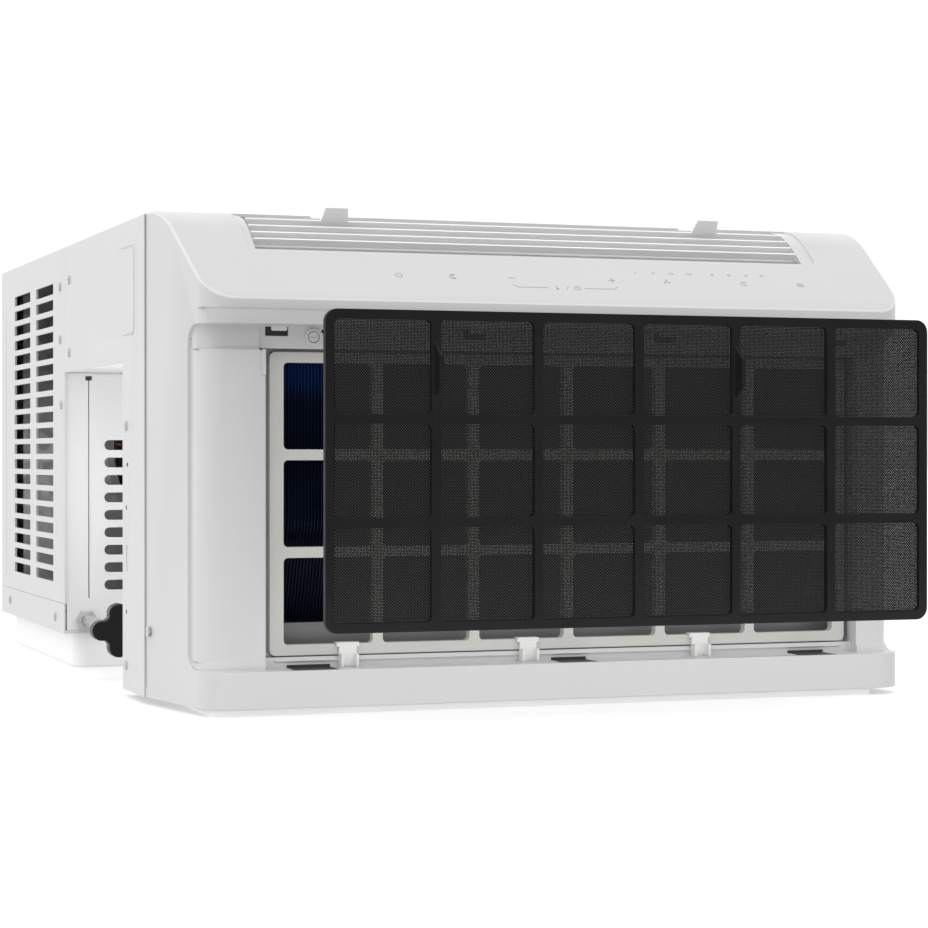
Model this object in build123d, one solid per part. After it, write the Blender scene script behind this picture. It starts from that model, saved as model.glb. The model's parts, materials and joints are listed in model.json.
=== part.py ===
from build123d import *
import os
from math import asin, atan2, cos, degrees, hypot, radians, sin, sqrt, tan

# Saddle window air conditioner: an indoor section and an outdoor section joined by a bridge
# that sits over the window sill. Millimetres. X runs across the unit, Y runs from the room to
# the outside and Z runs up. Everything is drawn with Y counted back from the front face of the
# plastic shell and X from near the middle; save() then moves each piece so that the origin is
# the bottom centre of the whole unit with its filter pulled forward.

# Overall sizes
HALF = 303.0  # half the cabinet width
MIDDLE = 3.0  # the cabinet's middle; x is counted from a line a little to its left
DEPTH = 805.0  # shell front face to cabinet rear face
TOP_Z = 382.0  # top of the steel cabinet
SHEET = 1.5  # steel sheet thickness
WALL = 3.0  # plastic wall thickness
SEAM_Y = 120.0  # plastic shell meets the steel cabinet
INDOOR_BACK = 201.0  # rear face of the indoor section
COVER_JOINT = 454.0  # bridge cover meets the outdoor cabinet
OUTDOOR_FRONT = 457.0  # front wall of the outdoor section
BRIDGE_Z = 268.5  # underside of the bridge

# Plastic front shell
SHELL_LEFT = -298.5  # left side at the seam
SHELL_RIGHT = 304.5  # right side
TAPER = tan(radians(9.7))  # the left side closes in towards the room, the right side is straight
CORNER = 26.0  # vertical front corner radius
EDGE_RADIUS = 2.5  # round edge between the deck and the sides
SHELL_Z = 5.0  # bottom edge of the shell
DECK_Z = 383.5  # flat top of the deck
DECK_RADIUS = 75.0  # bend from the flat top to the sloped deck
DECK_BEND_Y = 117.0  # where that bend starts
DECK_SLOPE = 38.9  # degrees
LIP_TOP = 33.0  # top of the bottom lip
RECESS_TOP = 291.5  # top of the intake recess
RECESS_SIDE_Y = 39.0  # how far the recess wraps round the sides
COLUMN_Y = 17.0  # face of the columns beside the intake
COLUMN_TOP = 273.0  # above this the columns stand back
BAND_Y = 22.0  # face of the band above the intake
AIR_X = 4.0  # middle of the outlet, its duct and the blower
OUTLET_HALF = 232.0  # half length of the outlet in the deck
OUTLET_RIM = (-234.5, 248.0)  # ends of the shallow step round the outlet
RIM_DEPTH = 1.8
OUTLET_FRONT = 50.5
OUTLET_BACK = 110.0

# Intake: guard frame and filter share one outline
INTAKE_X = 18.5  # the intake sits off centre, clear of the coil's tube ends
INTAKE_W = 480.0
INTAKE_H = 230.0
INTAKE_Z = 42.0  # bottom edge of the guard frame
INTAKE_COLUMNS = 6
INTAKE_ROWS = 3
GUARD_Y = 27.0
GUARD_THICK = 8.0
GUARD_BAR = 8.3
GUARD_SIDE = 3.0  # the guard's outer frame is this much wider at each end
FILTER_THICK = 6.0
FILTER_BAR = 7.0
FILTER_PULL = 129.0  # forward travel from the seat to the pulled-out position
FILTER_LIFT = 24.5  # rise over that travel
FILTER_TAB_REACH = 12.0
MESH_THICK = 0.6

# Outlet louver
SLATS = 4
SLAT_FRONT_Y = 62.3
SLAT_PITCH_Y = 8.4
SLAT_CHORD = 13.0
SLAT_THICK = 1.6
PIN_R = 1.5
PIN_GAP = 0.06  # radial running clearance of every small pivot
TAB_X = 159.5  # finger tabs on the rear slat

# Indoor blower and the duct above it
BLOWER_Y = 135.0
BLOWER_Z = 215.0
BLOWER_R = 50.0
SCROLL_R = 56.0
DUCT_HALF = 234.0  # inner faces of the duct's end plates
DUCT_ANGLE = 28.4  # lean of the duct walls towards the room, degrees
DUCT_WIDTH = 66.0  # across the duct
VANES = 3  # upright vanes in each group
VANE_PITCH = 62.0

# Outdoor section
VENT_ROWS = 19
VENT_PITCH = 14.78
VENT_LOW_Z = 81.5
VENT_SHEET = 2.4  # depth of the pressed vents' edges
SKIRT_LOW = 32.0
SKIRT_TOP = 59.0
FLOOR_TOP = 35.0  # top of the outdoor floor plate
FAN_X = -70.0
FAN_Z = 205.0
FAN_R = 127.0
FAN_BLADES = 5
COMPRESSOR = (190.0, 590.0)
COMPRESSOR_R = 60.0
ACCUMULATOR = (98.0, 560.0)
ACCUMULATOR_R = 26.0
CONDENSER = (-268.0, 226.0, 764.0, 796.0, 37.0, 372.0)

# Levelling bumpers
BUMPERS = {"left": -280.0, "right": 286.0}
BUMPER_Z = 44.0
STUD_R = 5.0
KNOB_BACK_Y = 324.0
KNOB_THICK = 14.0

FILTER_SEAT_Y = GUARD_Y - 4 - FILTER_THICK  # front face of the filter when it is home
FILTER_Y = FILTER_SEAT_Y - FILTER_PULL
FRONT_Y = -(DEPTH + FILTER_Y - FILTER_TAB_REACH) / 2
LEFT, RIGHT = MIDDLE - HALF, MIDDLE + HALF  # outer faces of the cabinet's sides

SCREW_HEAD_R = 4.0
SCREW_HEAD = 1.6
SCREW_SHANK_R = 1.9
SCREW_HOLE_R = 2.1
SCREW_LENGTH = 9.0

# Side screws as (y, z): bridge cover first, then the outdoor side panels and the skirt
COVER_SCREWS = [(431.7, 350.7), (431.7, 285.4), (186.7, 217.3), (186.7, 25.3)]
PANEL_SCREWS = [(475.6, 347.2), (475.6, 298.9), (470.6, 239.5)]
SKIRT_SCREWS = [(752.3, 46.7), (500.7, 45.0)]


def block(x0, x1, y0, y1, z0, z1):
    """Box between two corners."""
    return Pos((x0 + x1) / 2, (y0 + y1) / 2, (z0 + z1) / 2) * Box(x1 - x0, y1 - y0, z1 - z0)


def rod_x(x0, x1, y, z, r):
    return Pos((x0 + x1) / 2, y, z) * Rot(0, 90, 0) * Cylinder(r, x1 - x0)


def rod_y(x, y0, y1, z, r):
    return Pos(x, (y0 + y1) / 2, z) * Rot(90, 0, 0) * Cylinder(r, y1 - y0)


def rod_z(x, y, z0, z1, r):
    return Pos(x, y, (z0 + z1) / 2) * Cylinder(r, z1 - z0)


def side_prism(face, x0, x1):
    """Run a (y, z) face along X."""
    return Pos(x0, 0, 0) * extrude(Plane.YZ * face, x1 - x0)


def side_polygon(points, x0, x1):
    return side_prism(make_face(Polyline(*points, close=True)), x0, x1)


def upright(face, z0, z1):
    """Run a plan face up Z."""
    return Pos(0, 0, z0) * extrude(face, z1 - z0)


def front_plate(x, z, width, height, y0, y1, corner):
    """Rounded rectangle facing the room, from y0 to y1."""
    face = Plane.XZ * RectangleRounded(width, height, corner)
    return Pos(x, y1, z) * extrude(face, y1 - y0)


def pipe(points, bends, r):
    """Round bar along straight runs joined by tangent arcs."""
    path = FilletPolyline(*points, radius=bends)
    return sweep(Plane(path @ 0, z_dir=path % 0) * Circle(r), path=path)


def both_sides(shape):
    """A piece and its mirror image across the middle of the cabinet."""
    return [shape, mirror(shape, Plane.YZ.offset(MIDDLE))]


def fused(shapes):
    return Part() + shapes


def save(name, shape):
    moved = Pos(-MIDDLE, FRONT_Y, 0) * shape
    export_step(moved, os.path.join("parts", name + ".step"))


# ---- plastic front shell -------------------------------------------------------------------


def deck_z(y):
    """Height of the deck's outer surface."""
    bend_end = DECK_BEND_Y - DECK_RADIUS * sin(radians(DECK_SLOPE))
    if y >= DECK_BEND_Y:
        return DECK_Z
    if y > bend_end:
        return DECK_Z - DECK_RADIUS + sqrt(DECK_RADIUS**2 - (DECK_BEND_Y - y) ** 2)
    bend_drop = DECK_RADIUS * (1 - cos(radians(DECK_SLOPE)))
    return DECK_Z - bend_drop - (bend_end - y) * tan(radians(DECK_SLOPE))


def deck_face(inset, back):
    """Side outline of the shell, drawn in by a wall thickness and closed at the back."""
    centre_z = DECK_Z - DECK_RADIUS
    bend = CenterArc((DECK_BEND_Y, centre_z), DECK_RADIUS - inset, 90, DECK_SLOPE)
    foot = bend @ 1
    lip = (inset, foot.Y - (foot.X - inset) * tan(radians(DECK_SLOPE)))
    rest = Polyline(lip, (inset, -1), (back, -1), (back, centre_z + DECK_RADIUS - inset), bend @ 0)
    return make_face([bend, Line(foot, lip), *rest.edges()])


def plan_face(front, side, back, corner):
    """Plan outline with a flat front, a left side that closes in and a straight right side."""
    left_front = SHELL_LEFT + side + (SEAM_Y - front) * TAPER
    left_back = SHELL_LEFT + side + (SEAM_Y - back) * TAPER
    right = SHELL_RIGHT - side
    points = [(left_back, back), (left_front, front), (right, front), (right, back)]
    face = make_face(Polyline(*points, close=True))
    return fillet(face.vertices().group_by(Axis.Y)[0], corner)


LIP_SLOTS = (-199.0, 11.0, 221.0)
BAND_SLOTS = (-220.0, -61.5, 98.5, 252.0)
SCREW_BOSS = (-191.5, 283.0)
SHELL_SCREW = (112.3, 56.8)  # (y, z) of the screw through each side


def recess_tool():
    """What the removed front panel would fill: a pocket that wraps round both corners."""
    pocket = block(-310, 310, -20, RECESS_SIDE_Y, LIP_TOP, RECESS_TOP)
    pocket = fillet(pocket.edges().filter_by(Axis.X).group_by(Axis.Y)[-1], 14)
    column = upright(plan_face(COLUMN_Y, 2.5, 80, 22), LIP_TOP - 1, COLUMN_TOP)
    column += upright(plan_face(COLUMN_Y + 3, 2.5, 80, 22), COLUMN_TOP - 1, RECESS_TOP + 1)
    column += upright(plan_face(COLUMN_Y - 1.5, 2.5, 80, 22), LIP_TOP - 1, LIP_TOP + 6)
    return pocket - column


def front_shell():
    outer = upright(plan_face(0, 0, SEAM_Y, CORNER), SHELL_Z, 400)
    outer &= side_prism(deck_face(0, SEAM_Y), -310, 310)
    rim = [edge for edge in outer.edges() if edge.center().Z > 305 and edge.center().Y < SEAM_Y - 1]
    across = [edge for edge in rim if abs((edge % 0.5).X) > 0.999 and edge.center().Y > 1]
    outer = fillet([edge for edge in rim if edge not in across], EDGE_RADIUS)
    behind = SEAM_Y + 20
    room = side_prism(deck_face(WALL, behind), -310, 310)
    cavity = upright(plan_face(WALL, WALL, behind, CORNER - WALL), RECESS_TOP + WALL, 400)
    cavity += upright(plan_face(COLUMN_Y + 5, 6, behind, 20), 20, RECESS_TOP + 10)
    cavity += upright(plan_face(WALL, WALL, behind, CORNER - WALL), 0, LIP_TOP - WALL)
    shell = outer - (cavity & room) - recess_tool()
    # the front of the strip under the deck's lip stands back a little
    strip = block(-310, 310, -20, 30, RECESS_TOP - 1, 303)
    shell -= strip - upright(plan_face(1.5, 0, 90, CORNER), 200, 320)
    # intake opening, the set-back band above it and the slots for the front panel's hooks
    x0, x1 = INTAKE_X - INTAKE_W / 2 - 8.5, INTAKE_X + INTAKE_W / 2 + 8.5
    shell -= block(x0, x1, 0, BAND_Y + 10, LIP_TOP, INTAKE_Z + INTAKE_H + 2)
    shell -= block(x0 - 4, x1, -5, BAND_Y, INTAKE_Z + INTAKE_H, RECESS_TOP)
    shell += block(x0 - 9, x1 + 5, BAND_Y, BAND_Y + WALL, INTAKE_Z + INTAKE_H + 2, RECESS_TOP + WALL)
    # walls that run back beside the guard, a hook on the left one, and the sill under the guard
    low, high = LIP_TOP - WALL, INTAKE_Z + INTAKE_H + 1
    shell += block(x0 - WALL, x0, COLUMN_Y + 2, GUARD_Y + 6, low, high)
    shell += block(x1, x1 + WALL, COLUMN_Y + 2, GUARD_Y + 6, low, high)
    shell += block(x0 - WALL, x0, COLUMN_Y - 1.5, COLUMN_Y + 3, COLUMN_TOP - 19, COLUMN_TOP)
    shell += block(x0 - 1, x1 + 1, COLUMN_Y, GUARD_Y + 4, low, LIP_TOP)
    shell += block(x0 - 1, x1 + 1, GUARD_Y + 0.3, GUARD_Y + 4, low, INTAKE_Z - 0.9)
    for x in BAND_SLOTS:
        shell -= block(x - 9, x + 9, BAND_Y - 1, BAND_Y + 5, 283.5, 290.5)
    for x in LIP_SLOTS:
        shell -= block(x - 17, x + 17, 4.5, 11.5, LIP_TOP - 8, LIP_TOP + 1)
    boss_x, boss_z = SCREW_BOSS
    shell += rod_y(boss_x, BAND_Y - 2, BAND_Y, boss_z, 6.3) - rod_y(boss_x, BAND_Y - 3, BAND_Y, boss_z, 4.6)
    shell -= rod_y(boss_x, BAND_Y - 3, BAND_Y + 5, boss_z, SCREW_HOLE_R)
    shell -= rod_y(boss_x + 8, BAND_Y - 1, BAND_Y + 5, 287.5, 1.5)
    # air outlet in the deck, with a stepped rim and a shallow groove behind each finger tab
    shell -= block(AIR_X - OUTLET_HALF, AIR_X + OUTLET_HALF, OUTLET_FRONT, OUTLET_BACK, 300, 400)
    step = block(*OUTLET_RIM, OUTLET_FRONT, OUTLET_BACK, 300, 400)
    step = fillet(step.edges().filter_by(Axis.Z).group_by(Axis.Y)[0], 5)
    shell -= step - side_prism(deck_face(RIM_DEPTH, SEAM_Y), -310, 310)
    for x in (AIR_X - TAB_X, AIR_X + TAB_X):
        shell -= block(x - 12.5, x + 12.5, OUTLET_BACK - 1, SEAM_Y + 1, DECK_Z - 2, 400)
    side_y, side_z = SHELL_SCREW
    return shell - rod_x(-310, 310, side_y, side_z, SCREW_HOLE_R)


def base_tray():
    """Light tray under the shell: the unit's indoor end rests on it."""
    tray = upright(plan_face(4.5, 5.5, INDOOR_BACK - 6, CORNER - 5), 0, 26)
    tray &= block(-273, 273, 0, 300, 0, 26)
    room = upright(plan_face(4.5 + WALL, 5.5 + WALL, INDOOR_BACK - 6 - WALL, CORNER - 8), WALL, 30)
    room &= block(-273 + WALL, 273 - WALL, 0, 300, 0, 30)
    return tray - room


# ---- intake --------------------------------------------------------------------------------


def grid_panel(z0, height, y0, thick, bar, corner, hole_corner, side=0.0):
    """Rectangular frame with crossing bars and rounded openings."""
    z_mid = z0 + height / 2
    panel = front_plate(INTAKE_X, z_mid, INTAKE_W + 2 * side, height, y0, y0 + thick, corner)
    cell_w = (INTAKE_W - bar) / INTAKE_COLUMNS
    cell_h = (height - bar) / INTAKE_ROWS
    holes = []
    for column in range(INTAKE_COLUMNS):
        for row in range(INTAKE_ROWS):
            x = INTAKE_X + (column - (INTAKE_COLUMNS - 1) / 2) * cell_w
            z = z_mid + (row - (INTAKE_ROWS - 1) / 2) * cell_h
            holes.append(
                front_plate(x, z, cell_w - bar, cell_h - bar, y0 - 1, y0 + thick + 1, hole_corner)
            )
    return panel - holes


def intake_guard():
    return grid_panel(INTAKE_Z, INTAKE_H, GUARD_Y, GUARD_THICK, GUARD_BAR, 5, 3.5, GUARD_SIDE)


FILTER_Z = INTAKE_Z + 1.5 + FILTER_LIFT
FILTER_H = INTAKE_H - 1


def filter_frame():
    """Framed filter, drawn where it is pulled forward out of its seat."""
    frame = grid_panel(FILTER_Z, FILTER_H, FILTER_Y, FILTER_THICK, FILTER_BAR, 9, 4)
    z_mid = FILTER_Z + FILTER_H / 2
    bed_y = FILTER_Y + FILTER_THICK - MESH_THICK - 0.4
    frame -= front_plate(
        INTAKE_X, z_mid, INTAKE_W - 6, FILTER_H - 6, bed_y, FILTER_Y + FILTER_THICK + 1, 7
    )
    cell_w = (INTAKE_W - FILTER_BAR) / INTAKE_COLUMNS
    low, high = FILTER_Z + 168, FILTER_Z + 206
    for bar_index in (1, 4):
        x = INTAKE_X + (bar_index - INTAKE_COLUMNS / 2) * cell_w
        tip = FILTER_Y - FILTER_TAB_REACH
        outline = [(FILTER_Y, low), (tip, low + 9), (tip, high - 9), (FILTER_Y, high)]
        frame += side_polygon(outline, x - 1.5, x + 1.5)
    return frame


def filter_mesh():
    y0 = FILTER_Y + FILTER_THICK - MESH_THICK - 0.3
    z_mid = FILTER_Z + FILTER_H / 2
    return front_plate(INTAKE_X, z_mid, INTAKE_W - 7, FILTER_H - 7, y0, y0 + MESH_THICK, 6.5)


CLIPS = (-163.5, -16.5, 130.5)


def filter_clips():
    """Three clips over the guard's bottom bar, each with two ribs that the filter stands on."""
    clips = []
    for x in CLIPS:
        clip = block(x - 7, x + 7, GUARD_Y - 3, GUARD_Y - 0.2, LIP_TOP + 0.1, INTAKE_Z + 8)
        clip += block(x - 9, x + 9, GUARD_Y - 3, GUARD_Y - 0.2, INTAKE_Z + 6, INTAKE_Z + 9.5)
        clip += block(x - 9, x + 9, GUARD_Y - 3, GUARD_Y + 5, INTAKE_Z + 8.5, INTAKE_Z + 9.5)
        for rib in (x - 6, x + 6):
            clip += block(rib - 1, rib + 1, FILTER_SEAT_Y + 1, GUARD_Y - 2, LIP_TOP + 0.1, INTAKE_Z + 1)
        clips.append(clip)
    return clips


# ---- evaporator, drain pan and blower -------------------------------------------------------

EVAP_X0, EVAP_X1 = -212.0, 246.0
EVAP_FRONT = 42.0
EVAP_THICK = 28.0
EVAP_BEND_Z = 143.0
EVAP_TOP = 300.0
EVAP_LOW = 67.0
EVAP_LEAN = tan(radians(20))
TUBE_R = 4.0


def evaporator_rows():
    """Tube centres as (y, z), one list for each of the two rows."""
    rows = []
    for depth in (7.5, 20.5):
        centres = []
        for step in range(10):
            z = EVAP_TOP - 14 - step * 23
            lean = max(0.0, EVAP_BEND_Z - z) * EVAP_LEAN
            centres.append((EVAP_FRONT + depth + lean, z))
        rows.append(centres)
    return rows


def serpentine(centres, x0, x1, r, first_side=1):
    """Straight legs joined at alternate ends by return bends."""
    legs = [rod_x(x0, x1, y, z, r) for y, z in centres]
    for index, ((ya, za), (yb, zb)) in enumerate(zip(centres, centres[1:])):
        gap = hypot(yb - ya, zb - za)
        turn = Torus(gap / 2, r) & Pos(gap, 0, 0) * Box(2 * gap, 4 * gap, 4 * r)
        tilt = degrees(atan2(zb - za, yb - ya))
        side = first_side if index % 2 == 0 else -first_side
        face = Rot(0, 0, 0 if side > 0 else 180)
        at = Pos(x1 if side > 0 else x0, (ya + yb) / 2, (za + zb) / 2)
        legs.append(at * Rot(tilt, 0, 0) * face * turn)
    return fused(legs)


def evaporator_fins():
    low_y = EVAP_FRONT + (EVAP_BEND_Z - EVAP_LOW) * EVAP_LEAN
    wide = EVAP_THICK / cos(radians(20))
    outline = [
        (EVAP_FRONT, EVAP_TOP),
        (EVAP_FRONT, EVAP_BEND_Z),
        (low_y, EVAP_LOW),
        (low_y + wide, EVAP_LOW),
        (EVAP_FRONT + EVAP_THICK, EVAP_BEND_Z + 5),
        (EVAP_FRONT + EVAP_THICK, EVAP_TOP),
    ]
    fins = side_polygon(outline, EVAP_X0, EVAP_X1)
    holes = []
    for centres in evaporator_rows():
        holes += [rod_x(EVAP_X0 - 1, EVAP_X1 + 1, y, z, TUBE_R + 0.02) for y, z in centres]
    return fins - holes


def evaporator_tubes():
    return [serpentine(row, EVAP_X0 - 6, EVAP_X1 + 6, TUBE_R) for row in evaporator_rows()]


def drain_pan():
    pan = block(-226, 262, 56, 128, LIP_TOP, 65)
    return pan - block(-223.5, 259.5, 58.5, 125.5, LIP_TOP + 2.5, 70)


def duct_point(along, across):
    """(y, z) in the duct: along the air path from the blower axis, across it to the rear."""
    a = radians(DUCT_ANGLE)
    y = BLOWER_Y - along * sin(a) + across * cos(a)
    z = BLOWER_Z + along * cos(a) + across * sin(a)
    return y, z


REAR_WALL = SCROLL_R
FRONT_WALL = SCROLL_R - DUCT_WIDTH


def duct_plate(along0, along1, across0, across1, x0, x1):
    corners = [(along0, across0), (along1, across0), (along1, across1), (along0, across1)]
    return side_polygon([duct_point(*c) for c in corners], x0, x1)


def under_deck():
    """Room below the deck's inner surface, for trimming what stands under it."""
    return side_prism(deck_face(WALL + 0.3, 320), -320, 320)


def blower_scroll():
    """Curved wall behind the blower, with end plates that carry its bearing and motor."""
    ring = Circle(SCROLL_R + 2.5) - Circle(SCROLL_R)
    wedge_points = [(0, 0)]
    for degree in (DUCT_ANGLE, -25, -80, -135):
        wedge_points.append((150 * cos(radians(degree)), 150 * sin(radians(degree))))
    wedge = make_face(Polyline(*wedge_points, close=True))
    wall = side_prism(Pos(BLOWER_Y, BLOWER_Z) * (ring & wedge), -DUCT_HALF, DUCT_HALF)
    parts = [wall]
    for x0 in (-DUCT_HALF - 3, DUCT_HALF):
        end = rod_x(x0, x0 + 3, BLOWER_Y, BLOWER_Z, SCROLL_R + 2.5)
        parts.append(end - rod_x(x0 - 1, x0 + 4, BLOWER_Y, BLOWER_Z, 9))
    return fused(parts)


VANE_ALONG = 92.0  # pivot line of the upright vanes
VANE_GROUPS = {"left": -128.0, "right": 128.0}


def slat_centre(index):
    """Pivot of a louver slat, below the deck surface on the slat's own line."""
    y = SLAT_FRONT_Y + index * SLAT_PITCH_Y
    a = radians(DECK_SLOPE)
    z = deck_z(SLAT_FRONT_Y) + index * SLAT_PITCH_Y * tan(a) * 0.86
    depth = 8.0
    return y + depth * sin(a), z - depth * cos(a)


def outlet_duct():
    """Duct from the blower to the deck, with the bearings of the slats and vanes."""
    top = 170.0
    walls = [
        duct_plate(SCROLL_R * 0.02, top, REAR_WALL, REAR_WALL + 2.5, -DUCT_HALF, DUCT_HALF),
        duct_plate(52, top, FRONT_WALL - 2.5, FRONT_WALL, -DUCT_HALF, DUCT_HALF),
    ]
    for x0 in (-DUCT_HALF - 3, DUCT_HALF):
        plate = duct_plate(0, top, FRONT_WALL - 2.5, REAR_WALL + 2.5, x0, x0 + 3)
        plate += side_polygon([(60, 300), (112, 300), (112, 400), (40, 400)], x0, x0 + 3)
        plate -= rod_x(x0 - 1, x0 + 4, BLOWER_Y, BLOWER_Z, SCROLL_R + 2.8)
        walls.append(plate)
    duct = fused(walls) & under_deck()
    for index in range(SLATS):
        y, z = slat_centre(index)
        duct -= rod_x(-300, 300, y, z, PIN_R + PIN_GAP)
    for centre in VANE_GROUPS.values():
        for step in range(VANES):
            x = centre + (step - (VANES - 1) / 2) * VANE_PITCH
            duct -= across_rod(x, VANE_ALONG, FRONT_WALL - 5, REAR_WALL + 5, PIN_R + PIN_GAP)
    return duct


def across_rod(x, along, across0, across1, r):
    """Round pin square to the air path."""
    y, z = duct_point(along, (across0 + across1) / 2)
    return Pos(x, y, z) * Rot(DUCT_ANGLE, 0, 0) * Rot(90, 0, 0) * Cylinder(r, across1 - across0)


def vane(x):
    plate = duct_plate(VANE_ALONG - 18, VANE_ALONG + 14, FRONT_WALL + 4, REAR_WALL - 4, x - 0.8, x + 0.8)
    pins = [
        across_rod(x, VANE_ALONG, FRONT_WALL - 2, FRONT_WALL + 6, PIN_R),
        across_rod(x, VANE_ALONG, REAR_WALL - 6, REAR_WALL + 2, PIN_R),
    ]
    knuckle = across_rod(x, VANE_ALONG - 15, FRONT_WALL + 4, FRONT_WALL + 8, 2.4)
    crank = across_rod(x, VANE_ALONG - 15, FRONT_WALL + 0.8, FRONT_WALL + 5, PIN_R)
    return fused([plate, *pins, knuckle, crank])


def vane_link(centre):
    """Bar across a group of vanes, on their crank pins."""
    reach = (VANES - 1) / 2 * VANE_PITCH + 4
    bar = duct_plate(
        VANE_ALONG - 18, VANE_ALONG - 12, FRONT_WALL + 1.2, FRONT_WALL + 3.6, centre - reach, centre + reach
    )
    for step in range(VANES):
        x = centre + (step - (VANES - 1) / 2) * VANE_PITCH
        bar -= across_rod(x, VANE_ALONG - 15, FRONT_WALL - 1, FRONT_WALL + 6, PIN_R + PIN_GAP)
    return bar


LINK_X = -226.0
CRANK = 6.0  # pivot to crank pin


def slat_frame(index):
    """Plane of a slat: local x along the unit, local y up the chord towards the deck."""
    y, z = slat_centre(index)
    a = radians(DECK_SLOPE)
    return Plane(origin=(0, y, z), x_dir=(1, 0, 0), z_dir=(0, -cos(a), -sin(a)))


def slat(index):
    """One louver slat; the rear one carries two finger tabs."""
    plane = slat_frame(index)
    half = DUCT_HALF - 3
    low = SLAT_CHORD - 7.3
    blade = extrude(plane * Pos(0, (7.3 - low) / 2) * Rectangle(2 * half, SLAT_CHORD), SLAT_THICK / 2, both=True)
    y, z = slat_centre(index)
    blade += rod_x(-DUCT_HALF - 2, DUCT_HALF + 2, y, z, PIN_R)
    arm_y, arm_z = y + CRANK * sin(radians(DECK_SLOPE)), z - CRANK * cos(radians(DECK_SLOPE))
    blade += [plane * Pos(LINK_X + d, -5) * Box(1.6, 5, 2.4) for d in (-3.6, 3.6)]
    blade -= plane * Pos(LINK_X, -6) * Box(5.4, 6, 8)
    blade += rod_x(LINK_X - 4, LINK_X + 4, arm_y, arm_z, PIN_R - 0.3)
    if index == SLATS - 1:
        tabs = []
        for x in (-TAB_X, TAB_X):
            outline = [(x - 11.4, 6), (x + 11.4, 6), (x + 9, 20), (x - 9, 20)]
            face = make_face(Polyline(*outline, close=True))
            tabs.append(extrude(plane * face, 1.1, both=True))
        blade += tabs
    return blade


def louver_link():
    """Bar that joins the crank pins of the slats."""
    a = radians(DECK_SLOPE)
    pins = []
    for index in range(SLATS):
        y, z = slat_centre(index)
        pins.append((y + CRANK * sin(a), z - CRANK * cos(a)))
    (ya, za), (yb, zb) = pins[0], pins[-1]
    length = hypot(yb - ya, zb - za)
    tilt = degrees(atan2(zb - za, yb - ya))
    bar = Pos(LINK_X, (ya + yb) / 2, (za + zb) / 2) * Rot(tilt, 0, 0) * Box(1.6, length + 5, 4)
    return bar - [rod_x(LINK_X - 3, LINK_X + 3, y, z, PIN_R - 0.3 + PIN_GAP) for y, z in pins]


def crossflow_wheel():
    """Long blower wheel: end discs, dividing discs and curved blades."""
    half = DUCT_HALF - 4
    discs = []
    for x in (-half, -half / 2, 0, half / 2, half):
        disc = rod_x(x - 1.5, x + 1.5, BLOWER_Y, BLOWER_Z, BLOWER_R)
        if abs(x) < half:
            disc -= rod_x(x - 2, x + 2, BLOWER_Y, BLOWER_Z, BLOWER_R - 14)
        else:
            disc -= rod_x(x - 2, x + 2, BLOWER_Y, BLOWER_Z, 4 + PIN_GAP)
        discs.append(disc)
    blades = []
    count = 24
    for step in range(count):
        blade = Pos(0, BLOWER_R - 7, 0) * Rot(28, 0, 0) * Box(2 * half, 11, 1.4)
        blades.append(Pos(0, BLOWER_Y, BLOWER_Z) * Rot(step * 360 / count, 0, 0) * blade)
    return fused(discs + blades)


def crossflow_shafts():
    """Stub shafts at both ends of the wheel."""
    half = DUCT_HALF - 4
    left = rod_x(-DUCT_HALF - 12, -half + 12, BLOWER_Y, BLOWER_Z, 4)
    right = rod_x(half - 12, DUCT_HALF + 16, BLOWER_Y, BLOWER_Z, 4)
    return [left, right]


def blower_bearing():
    ring = rod_x(-DUCT_HALF - 12, -DUCT_HALF - 3.1, BLOWER_Y, BLOWER_Z, 14)
    ring += rod_x(-DUCT_HALF - 3.2, -DUCT_HALF, BLOWER_Y, BLOWER_Z, 8.8)
    return ring - rod_x(-DUCT_HALF - 20, -DUCT_HALF + 5, BLOWER_Y, BLOWER_Z, 4 + PIN_GAP)


def blower_motor():
    motor = rod_x(DUCT_HALF + 3.1, DUCT_HALF + 48, BLOWER_Y, BLOWER_Z, 38)
    motor += rod_x(DUCT_HALF + 3.1, DUCT_HALF + 10, BLOWER_Y, BLOWER_Z, 44)
    return motor - rod_x(DUCT_HALF, DUCT_HALF + 20, BLOWER_Y, BLOWER_Z, 4 + PIN_GAP)


def touch_board():
    """Circuit board of the touch controls, parallel to the deck and just under it."""
    y = 27.0
    board = Rot(DECK_SLOPE, 0, 0) * Box(400, 24, 1.6)
    keys = [
        Rot(DECK_SLOPE, 0, 0) * Pos(x, 0, 2.0) * Box(9, 9, 2.4)
        for x in range(-120, 241, 60)
    ]
    return Pos(20, y, deck_z(y) - 9) * fused([board] + [Pos(-60, 0, 0) * k for k in keys])


# ---- steel cabinet -------------------------------------------------------------------------


def side_rect(y0, y1, z0, z1, x0, x1, corner):
    """Rounded rectangle on a side panel, from x0 to x1."""
    face = Pos((y0 + y1) / 2, (z0 + z1) / 2) * RectangleRounded(y1 - y0, z1 - z0, corner)
    return side_prism(face, x0, x1)


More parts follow.
